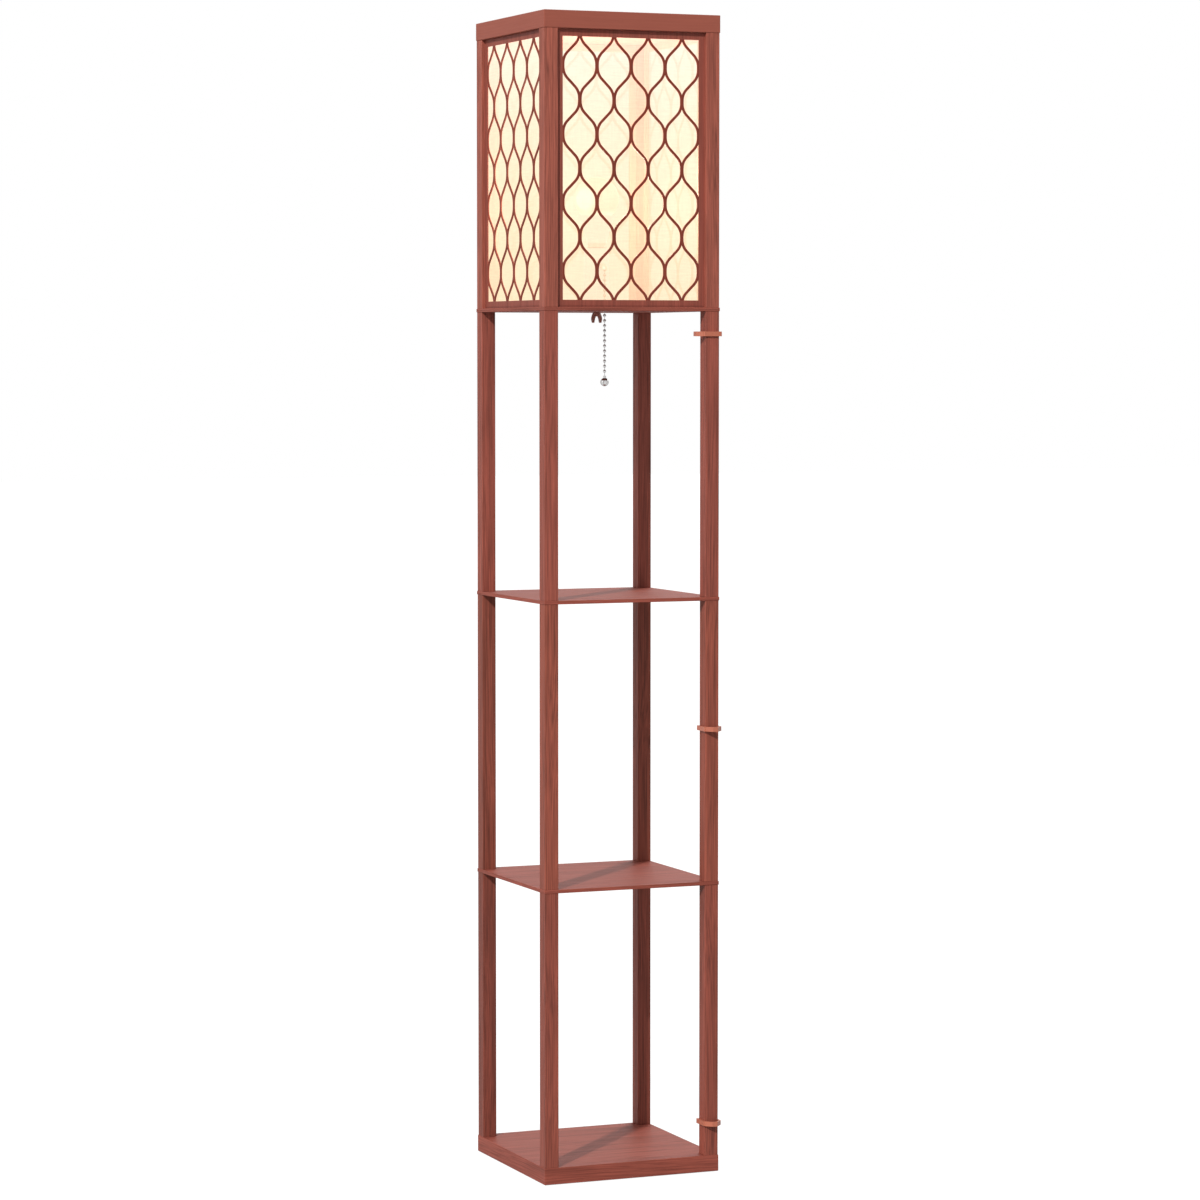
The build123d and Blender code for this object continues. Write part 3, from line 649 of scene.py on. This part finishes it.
back_stain = stain("stained_backing", BACKING_TONE, BACKING_CONTRAST, BACKING_START, False)
paint_nodes(back_stain, ["backing_strips"])

# %% [markdown]
# ## Linen
#
# The shade's cloth is a plain weave with slubs, thicker stretches of yarn, and the bulb shines
# through it. The yarns could be modelled, but there are a thousand in a metre and none can be told
# from its neighbour at this distance. So one group makes the weave from two crossed waves, and the
# slubs from noise that is stretched along each yarn. On an upright panel, x + y runs along the
# panel whichever way it faces, because the other of the two stays the same.

# %% The weave group
THREADS = 1100.0  # yarns in a metre
WEFT_CELLS = (50, 460, 1)  # in a metre, sideways and upwards
WARP_CELLS = (460, 40, 1)
WEFT_SHARE = 0.6
SLUB_HEIGHT = 1.5

weave, given, gives = new_group(
    "linen_weave",
    {"Vector": ("NodeSocketVector", None), "Threads": ("NodeSocketFloat", THREADS)},
    {"Yarn": "NodeSocketFloat", "Slub": "NodeSocketFloat", "Height": "NodeSocketFloat"},
)
place = split_vector(weave, given["Vector"])
across = math_node(weave, "ADD", place[0], place[1])
waves = []
for run in (across, place[2]):
    turns = math_node(weave, "MULTIPLY", run, given["Threads"])
    angle = math_node(weave, "MULTIPLY", turns, math.pi)
    waves.append(math_node(weave, "ABSOLUTE", math_node(weave, "SINE", angle)))
yarn = math_node(weave, "MULTIPLY", math_node(weave, "ADD", waves[0], waves[1]), 0.5)
flat_place = join_vector(weave, across, place[2])
weft = noise_node(weave, vector_node(weave, "MULTIPLY", flat_place, WEFT_CELLS), 2)
warp = noise_node(weave, vector_node(weave, "MULTIPLY", flat_place, WARP_CELLS), 2)
warp_part = math_node(weave, "MULTIPLY", warp, 1 - WEFT_SHARE)
slub = math_node(weave, "MULTIPLY_ADD", weft, WEFT_SHARE, warp_part)
weave.links.new(yarn, gives["Yarn"])
weave.links.new(slub, gives["Slub"])
weave.links.new(math_node(weave, "MULTIPLY_ADD", slub, SLUB_HEIGHT, yarn), gives["Height"])
print("group", weave.name)

# %% [markdown]
# Light comes through linen in two ways. Between the yarns about a third of it passes straight, so
# that the lattice, the strips and the post on the far side show faintly. A glass-like shader could
# do that, but it is slow and noisy, so the cloth is simply see-through in part. It has a front and
# a back surface, and each of them stops some. From outside and at a slant it looks more solid,
# because the yarns then cover each other's gaps.

# %% How much shows through the linen
LINEN_SOLID = 0.42  # of each of the cloth's two surfaces, seen square on
LINEN_SLANT = 0.40  # and how much more when it is seen along the cloth
LINEN_ROUGH = 0.9
LINEN_SHEEN = 0.1

linen, tree, shader = start_material(
    "lit_linen", Roughness=LINEN_ROUGH, Specular_IOR_Level=LINEN_SHEEN, Emission_Strength=1.0
)
slant = add_node(tree, "ShaderNodeLayerWeight", Blend=0.5)
here = add_node(tree, "ShaderNodeTexCoord")
from_axis = vector_node(tree, "MULTIPLY", here.outputs["Object"], (1, 1, 0))
outward = add_node(tree, "ShaderNodeVectorMath", operation="DOT_PRODUCT")
tree.links.new(here.outputs["Normal"], outward.inputs[0])
tree.links.new(from_axis, outward.inputs[1])
outside = math_node(tree, "GREATER_THAN", outward.outputs["Value"], 0.0)
nap = math_node(tree, "MULTIPLY", slant.outputs["Facing"], outside)
solid = math_node(tree, "MULTIPLY_ADD", nap, LINEN_SLANT, LINEN_SOLID)
tree.links.new(solid, shader.inputs["Alpha"])
print("the linen lets", round((1 - LINEN_SOLID) ** 2, 2), "of the light straight through")

# %% [markdown]
# The rest of the light is scattered in the yarns, and the cloth glows. A lamp behind a translucent
# shader would be the real way, but then the look would hang on how many rays are traced. Here the
# linen glows by itself, and looks lit in any light: warmer at the foot of the shade, whiter near
# its top, and a little brighter in each slub and between the yarns.

# %% Let the linen glow
GLOW_FOOT = (1.10, 0.83, 0.545, 1)
GLOW_HEAD = (1.14, 0.97, 0.78, 1)
GLOW_CURVE = 2.2  # the white comes late, near the head
SLUB_GLOW = (0.80, 1.20)
YARN_GLOW = (1.02, 0.97)
LINEN_BASE = (0.05, 0.045, 0.035, 1)
LINEN_SHADE = (0.035, 0.03, 0.025, 1)
WEAVE_DEPTH = 0.0002
WEAVE_STRENGTH = 0.6


def scale_vector(tree, vector, factor):
    """A vector or colour times a value."""
    node = add_node(tree, "ShaderNodeVectorMath", operation="SCALE")
    tree.links.new(vector, node.inputs[0])
    tree.links.new(factor, node.inputs["Scale"])
    return node.outputs[0]


low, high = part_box("linen_front")
cloth = use_group(tree, weave)
tree.links.new(here.outputs["Object"], cloth.inputs["Vector"])
rise = add_node(tree, "ShaderNodeMapRange")
tree.links.new(split_vector(tree, here.outputs["Object"])[2], rise.inputs["Value"])
rise.inputs["From Min"].default_value = low.z
rise.inputs["From Max"].default_value = high.z
upper_glow = math_node(tree, "POWER", rise.outputs["Result"], GLOW_CURVE)
glow_colour = mix_colours(tree, upper_glow, GLOW_FOOT, GLOW_HEAD)
slub_light = spread(tree, cloth.outputs["Slub"], *SLUB_GLOW)
yarn_light = spread(tree, cloth.outputs["Yarn"], *YARN_GLOW)
thread_light = math_node(tree, "MULTIPLY", slub_light, yarn_light)
tree.links.new(scale_vector(tree, glow_colour, thread_light), shader.inputs["Emission Color"])
dyed = mix_colours(tree, cloth.outputs["Slub"], LINEN_SHADE, LINEN_BASE)
tree.links.new(dyed, shader.inputs["Base Color"])
add_bump(tree, shader, cloth.outputs["Height"], WEAVE_DEPTH, WEAVE_STRENGTH)
print("linen glows from", GLOW_FOOT[:3], "to", GLOW_HEAD[:3])

# %% [markdown]
# Each sheet is stretched flat between its panel and the strips behind it, where it is held, and
# gives a very little in the middle. A cloth simulation would find the same shape, because a sheet
# that is held all round has nowhere to fold. So a grid is added, pushed in by a smooth curve,
# stood upright in its place, and given its thickness by Solidify.

# %% Stretch four sheets of linen
CLOTH = 0.0006
GIVE = 0.0012
CELLS = 48
WRINKLE = 0.00025
SMOOTH_UNDER = math.radians(40)
SIDES = {"front": (0, -1), "left": (-1, 0), "back": (0, 1), "right": (1, 0)}


def stretch_linen(side):
    """One sheet, upright behind its panel, with its outer face where the CAD sheet has its own."""
    low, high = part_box(f"linen_{side}")
    middle = (low + high) / 2
    size = high - low
    wide = max(size.x, size.y)
    tall = size.z
    out = Vector((*SIDES[side], 0))
    nothing_selected()
    bpy.ops.mesh.primitive_grid_add(x_subdivisions=CELLS, y_subdivisions=CELLS, size=1)
    sheet = bpy.context.object
    sheet.name = f"stretched_linen_{side}"
    bpy.ops.object.mode_set(mode="EDIT")
    bpy.ops.mesh.select_all(action="SELECT")
    bpy.ops.transform.resize(value=(wide, tall, 1))
    bpy.ops.object.mode_set(mode="OBJECT")
    turn = math.atan2(out.x, -out.y)
    stand = Matrix.Rotation(turn, 4, "Z") @ Matrix.Rotation(math.radians(90), 4, "X")
    for vertex in sheet.data.vertices:
        along = 2 * vertex.co.x / wide
        up = 2 * vertex.co.y / tall
        held = max(0.0, 1 - along**2) * max(0.0, 1 - up**4)
        ripple = math.sin(9 * along + 2 * up) * math.cos(4 * up - 3 * along)
        vertex.co.z = -GIVE * held + WRINKLE * ripple * held
    sheet.data.transform(Matrix.Translation(middle) @ stand)
    face = max(abs(low.dot(out)), abs(high.dot(out))) - CLOTH / 2
    shift = face - max(v.co.dot(out) for v in sheet.data.vertices)
    sheet.data.transform(Matrix.Translation(out * shift))
    bpy.context.view_layer.objects.active = sheet
    thicken = sheet.modifiers.new("thickness", "SOLIDIFY")
    thicken.thickness = CLOTH
    thicken.offset = 0
    bpy.ops.object.modifier_apply(modifier=thicken.name)
    bpy.ops.object.shade_smooth_by_angle(angle=SMOOTH_UNDER)
    sheet.data.materials.append(linen)
    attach(sheet, "frame")
    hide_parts(f"linen_{side}")
    return sheet


for side in SIDES:
    sheet = stretch_linen(side)
    print(sheet.name, "faces", len(sheet.data.polygons))

# %% [markdown]
# ## Hardware
#
# Metal and moulded plastic are never perfectly even: handling and casting leave slow changes in
# gloss and a faint texture. Plain colours would look like toys, and hand-painted maps are too much
# for pieces this small, so one group gives that unevenness to every such finish.

# %% The unevenness group and a function that uses it
SPECK_CELLS = (14, 14, 14)  # specks in each cloud
SPECK_HEIGHT = 0.5
GLOSS_CONTRAST = 1.6
GLOSS_START = -0.3
FINE_DEPTH = 0.00003  # relief of a cast or plated surface


def finish(name, light, dark, smooth, rough, scale, depth=FINE_DEPTH, **sockets):
    """A finish whose colour and gloss wander between two values."""
    material, tree, shader = start_material(name, **sockets)
    uneven_here = use_group(
        tree, uneven, Scale=scale, Smooth=smooth, Rough=rough, Light=light, Dark=dark
    )
    tree.links.new(uneven_here.outputs["Color"], shader.inputs["Base Color"])
    tree.links.new(uneven_here.outputs["Rough"], shader.inputs["Roughness"])
    add_bump(tree, shader, uneven_here.outputs["Height"], depth)
    return material


uneven, given, gives = new_group(
    "unevenness",
    {
        "Scale": ("NodeSocketFloat", 60.0),
        "Smooth": ("NodeSocketFloat", 0.3),
        "Rough": ("NodeSocketFloat", 0.5),
        "Light": ("NodeSocketColor", (0.8, 0.8, 0.8, 1)),
        "Dark": ("NodeSocketColor", (0.6, 0.6, 0.6, 1)),
    },
    {"Color": "NodeSocketColor", "Rough": "NodeSocketFloat", "Height": "NodeSocketFloat"},
)
here = add_node(uneven, "ShaderNodeTexCoord")
sized = scale_vector(uneven, here.outputs["Object"], given["Scale"])
clouds = noise_node(uneven, sized, detail=3)
specks = noise_node(uneven, vector_node(uneven, "MULTIPLY", sized, SPECK_CELLS), 1)
uneven.links.new(mix_colours(uneven, clouds, given["Light"], given["Dark"]), gives["Color"])
gloss = math_node(uneven, "MULTIPLY_ADD", clouds, GLOSS_CONTRAST, GLOSS_START, clamp=True)
step = math_node(uneven, "SUBTRACT", given["Rough"], given["Smooth"])
uneven.links.new(math_node(uneven, "MULTIPLY_ADD", gloss, step, given["Smooth"]), gives["Rough"])
uneven.links.new(math_node(uneven, "MULTIPLY_ADD", specks, SPECK_HEIGHT, clouds), gives["Height"])
print("group", uneven.name)

# %% [markdown]
# The chain is nickel-plated and polished, so its beads are small mirrors with the shelf over them
# and the white floor below. The fixings, the switch's axle and its spring are zinc-plated steel,
# the contacts and the screw shell are brass, and the bulb's cap and the chain's mouth have a pale,
# dull plating. Each metal could be built by itself, but they differ only in their numbers, and a
# table keeps those side by side.

# %% Finish the metal
METALS = {
    "polished_nickel": {
        "light": (0.60, 0.598, 0.595, 1),
        "dark": (0.52, 0.518, 0.515, 1),
        "smooth": 0.03,
        "rough": 0.07,
        "scale": 200.0,
        "depth": 0.000001,
        "Specular_Tint": (0.30, 0.30, 0.30, 1),
    },
    "zinc_steel": {
        "light": (0.50, 0.50, 0.52, 1),
        "dark": (0.36, 0.36, 0.37, 1),
        "smooth": 0.28,
        "rough": 0.5,
        "scale": 120.0,
    },
    "brass": {
        "light": (0.62, 0.44, 0.17, 1),
        "dark": (0.48, 0.32, 0.11, 1),
        "smooth": 0.2,
        "rough": 0.4,
        "scale": 120.0,
    },
    "plated_cap": {
        "light": (0.88, 0.86, 0.81, 1),
        "dark": (0.74, 0.72, 0.68, 1),
        "smooth": 0.35,
        "rough": 0.55,
        "scale": 120.0,
    },
}
METAL_PIECES = {
    "polished_nickel": ["chain_upper", "chain_swing", "chain_lower", "end_ball"],
    "zinc_steel": [
        "base_bolts", "shelf_studs", "panel_pins", "lock_nut", "drum_axle", "return_spring",
        "holder_stud",
    ],
    "brass": ["screw_shell", "centre_contact", "bulb_contact"],
    "plated_cap": ["bulb_screw_cap", "chain_mouth"],
}
for name, numbers in METALS.items():
    paint_nodes(finish(name, Metallic=1.0, **numbers), METAL_PIECES[name])

# %% [markdown]
# The wing nut is painted and the cord clips are moulded in a plastic that comes close to the wood.
# The switch and the cord's bush are dark plastic, the sleeve in the holder is fibre board and the
# pads are rubber. The holder and the bulb's housing are thin white plastic right next to the bulb,
# which lets some of its light through, so it glows a little by itself.

# %% Finish the paint, plastic and rubber
PLASTIC_GLOW = 0.45

NON_METALS = {
    "nut_paint": {
        "light": (0.36, 0.125, 0.085, 1),
        "dark": (0.28, 0.092, 0.062, 1),
        "smooth": 0.3,
        "rough": 0.5,
        "scale": 150.0,
    },
    "clip_plastic": {
        "light": (0.46, 0.135, 0.075, 1),
        "dark": (0.38, 0.105, 0.058, 1),
        "smooth": 0.38,
        "rough": 0.55,
        "scale": 90.0,
    },
    "dark_plastic": {
        "light": (0.035, 0.035, 0.035, 1),
        "dark": (0.02, 0.02, 0.02, 1),
        "smooth": 0.4,
        "rough": 0.6,
        "scale": 90.0,
    },
    "white_plastic": {
        "light": (0.86, 0.84, 0.79, 1),
        "dark": (0.80, 0.78, 0.73, 1),
        "smooth": 0.28,
        "rough": 0.42,
        "scale": 40.0,
        "depth": 0.00001,
        "Emission_Color": WHITE,
        "Emission_Strength": PLASTIC_GLOW,
    },
    "fibre": {
        "light": (0.30, 0.21, 0.12, 1),
        "dark": (0.22, 0.15, 0.08, 1),
        "smooth": 0.7,
        "rough": 0.9,
        "scale": 150.0,
    },
    "pad_rubber": {
        "light": (0.03, 0.028, 0.028, 1),
        "dark": (0.018, 0.017, 0.017, 1),
        "smooth": 0.7,
        "rough": 0.9,
        "scale": 180.0,
    },
}
NON_METAL_PIECES = {
    "nut_paint": ["wing_nut"],
    "clip_plastic": ["cord_clip_upper", "cord_clip_middle", "cord_clip_lower"],
    "dark_plastic": ["cord_bush", "switch_block", "switch_drum"],
    "white_plastic": ["holder_cap", "holder_shell", "bulb_housing"],
    "fibre": ["insulating_sleeve"],
    "pad_rubber": ["foot_pads"],
}
for name, numbers in NON_METALS.items():
    paint_nodes(finish(name, **numbers), NON_METAL_PIECES[name])

# %% [markdown]
# ## Bulb
#
# Through the linen the opal globe hardly shows, but one small bright disc on its wall does, where
# its light source is nearest. A light behind a translucent wall could make it, with a lot of
# noise. It is plainer to let the globe glow faintly and to add the disc by its distance from one
# point of the wall, with a soft edge. The globe casts no shadow, so that it lets out the light
# inside it.

# %% Light the bulb
GLOBE_GLOW = (0.42, 0.38, 0.27, 1)
SPOT_GLOW = (1.1, 1.0, 0.80, 1)
SPOT_AT = Vector((-0.0261, -0.0160, -0.005))  # from the middle of the globe's box
SPOT_RADIUS = 0.016
SPOT_EDGE = 0.004
OPAL_LIGHT = (0.9, 0.87, 0.8, 1)
OPAL_DARK = (0.86, 0.83, 0.76, 1)
OPAL_SMOOTH = 0.25
OPAL_ROUGH = 0.35
OPAL_SCALE = 30.0
OPAL_GLOSS = 0.4


def plain(value):
    """A vector or a nested list of them as plain lists of numbers, ready for JSON."""
    if hasattr(value, "__len__"):
        return [plain(v) for v in value]
    return float(value)


opal, tree, shader = start_material(
    "opal_globe", Emission_Strength=1.0, Specular_IOR_Level=OPAL_GLOSS
)
uneven_here = use_group(
    tree,
    uneven,
    Scale=OPAL_SCALE,
    Smooth=OPAL_SMOOTH,
    Rough=OPAL_ROUGH,
    Light=OPAL_LIGHT,
    Dark=OPAL_DARK,
)
tree.links.new(uneven_here.outputs["Color"], shader.inputs["Base Color"])
tree.links.new(uneven_here.outputs["Rough"], shader.inputs["Roughness"])
low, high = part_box("bulb_globe")
middle = (low + high) / 2
here = add_node(tree, "ShaderNodeTexCoord")
apart = add_node(tree, "ShaderNodeVectorMath", operation="DISTANCE")
tree.links.new(here.outputs["Object"], apart.inputs[0])
apart.inputs[1].default_value = middle + SPOT_AT
near = add_node(tree, "ShaderNodeMapRange", interpolation_type="SMOOTHSTEP")
tree.links.new(apart.outputs["Value"], near.inputs["Value"])
near.inputs["From Min"].default_value = SPOT_RADIUS + SPOT_EDGE
near.inputs["From Max"].default_value = SPOT_RADIUS - SPOT_EDGE
lit_globe = mix_colours(tree, near.outputs["Result"], GLOBE_GLOW, SPOT_GLOW)
tree.links.new(lit_globe, shader.inputs["Emission Color"])
paint_nodes(opal, ["bulb_globe"])
nodes["bulb_globe"].visible_shadow = False
print("hot spot at", plain(middle + SPOT_AT))

# %% [markdown]
# The glowing materials alone would light the inside of the shade, but slowly and with grain. A
# small point lamp in the globe lights the inside walls, and a wide cone upwards lights the top
# board's underside, as a bulb that stands upright does. Both ride on the bulb, so that they rise
# with it. Light linking keeps the point lamp off the pieces right beside it, which would burn out
# to pure white.

# %% Light the inside of the shade
BULB_WATTS = 10.0
BULB_COLOUR = (1.0, 0.86, 0.66)
BULB_SOFT = 0.02
UP_WATTS = 20.0
UP_CONE = math.radians(110)

bulb_data = bpy.data.lights.new("bulb_light", "POINT")
bulb_data.energy = BULB_WATTS
bulb_data.color = BULB_COLOUR
bulb_data.shadow_soft_size = BULB_SOFT
bulb_light = bpy.data.objects.new("bulb_light", bulb_data)
bulb_light.location = middle
bpy.context.scene.collection.objects.link(bulb_light)
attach(bulb_light, "bulb")
up_data = bpy.data.lights.new("up_light", "SPOT")
up_data.energy = UP_WATTS
up_data.color = BULB_COLOUR
up_data.spot_size = UP_CONE
up_data.spot_blend = 1.0
up_data.shadow_soft_size = BULB_SOFT
up_light = bpy.data.objects.new("up_light", up_data)
up_light.location = middle
up_light.rotation_euler = (math.radians(180), 0, 0)
bpy.context.scene.collection.objects.link(up_light)
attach(up_light, "bulb")

unlit = bpy.data.collections.new("not_lit_by_the_bulb")
for name in ("bulb_housing", "bulb_globe", "holder_shell"):
    unlit.objects.link(nodes[name])
for member in unlit.collection_objects:
    member.light_linking.link_state = "EXCLUDE"
bulb_light.light_linking.receiver_collection = unlit
print("bulb light at", plain(bulb_light.location))

# %% [markdown]
# ## Last checks
#
# A piece that was forgotten would stand in the picture in plain grey. One could look for it, but
# many pieces are hidden inside, so it is counted: every piece has exactly one material.

# %% Check that nothing is unpainted
for name, node in nodes.items():
    assert len(node.data.materials) == 1, name
print("painted", len(nodes), "nodes")

# %% [markdown]
# The cloth is new, so the finished lamp could have grown past the sizes of its frame. Both boxes
# are written down side by side to compare them.

# %% Write the sizes and finish
visual_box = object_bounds()
{"cad": plain(cad_box), "visual": plain(visual_box)}
print("sizes", plain(cad_box), plain(visual_box))
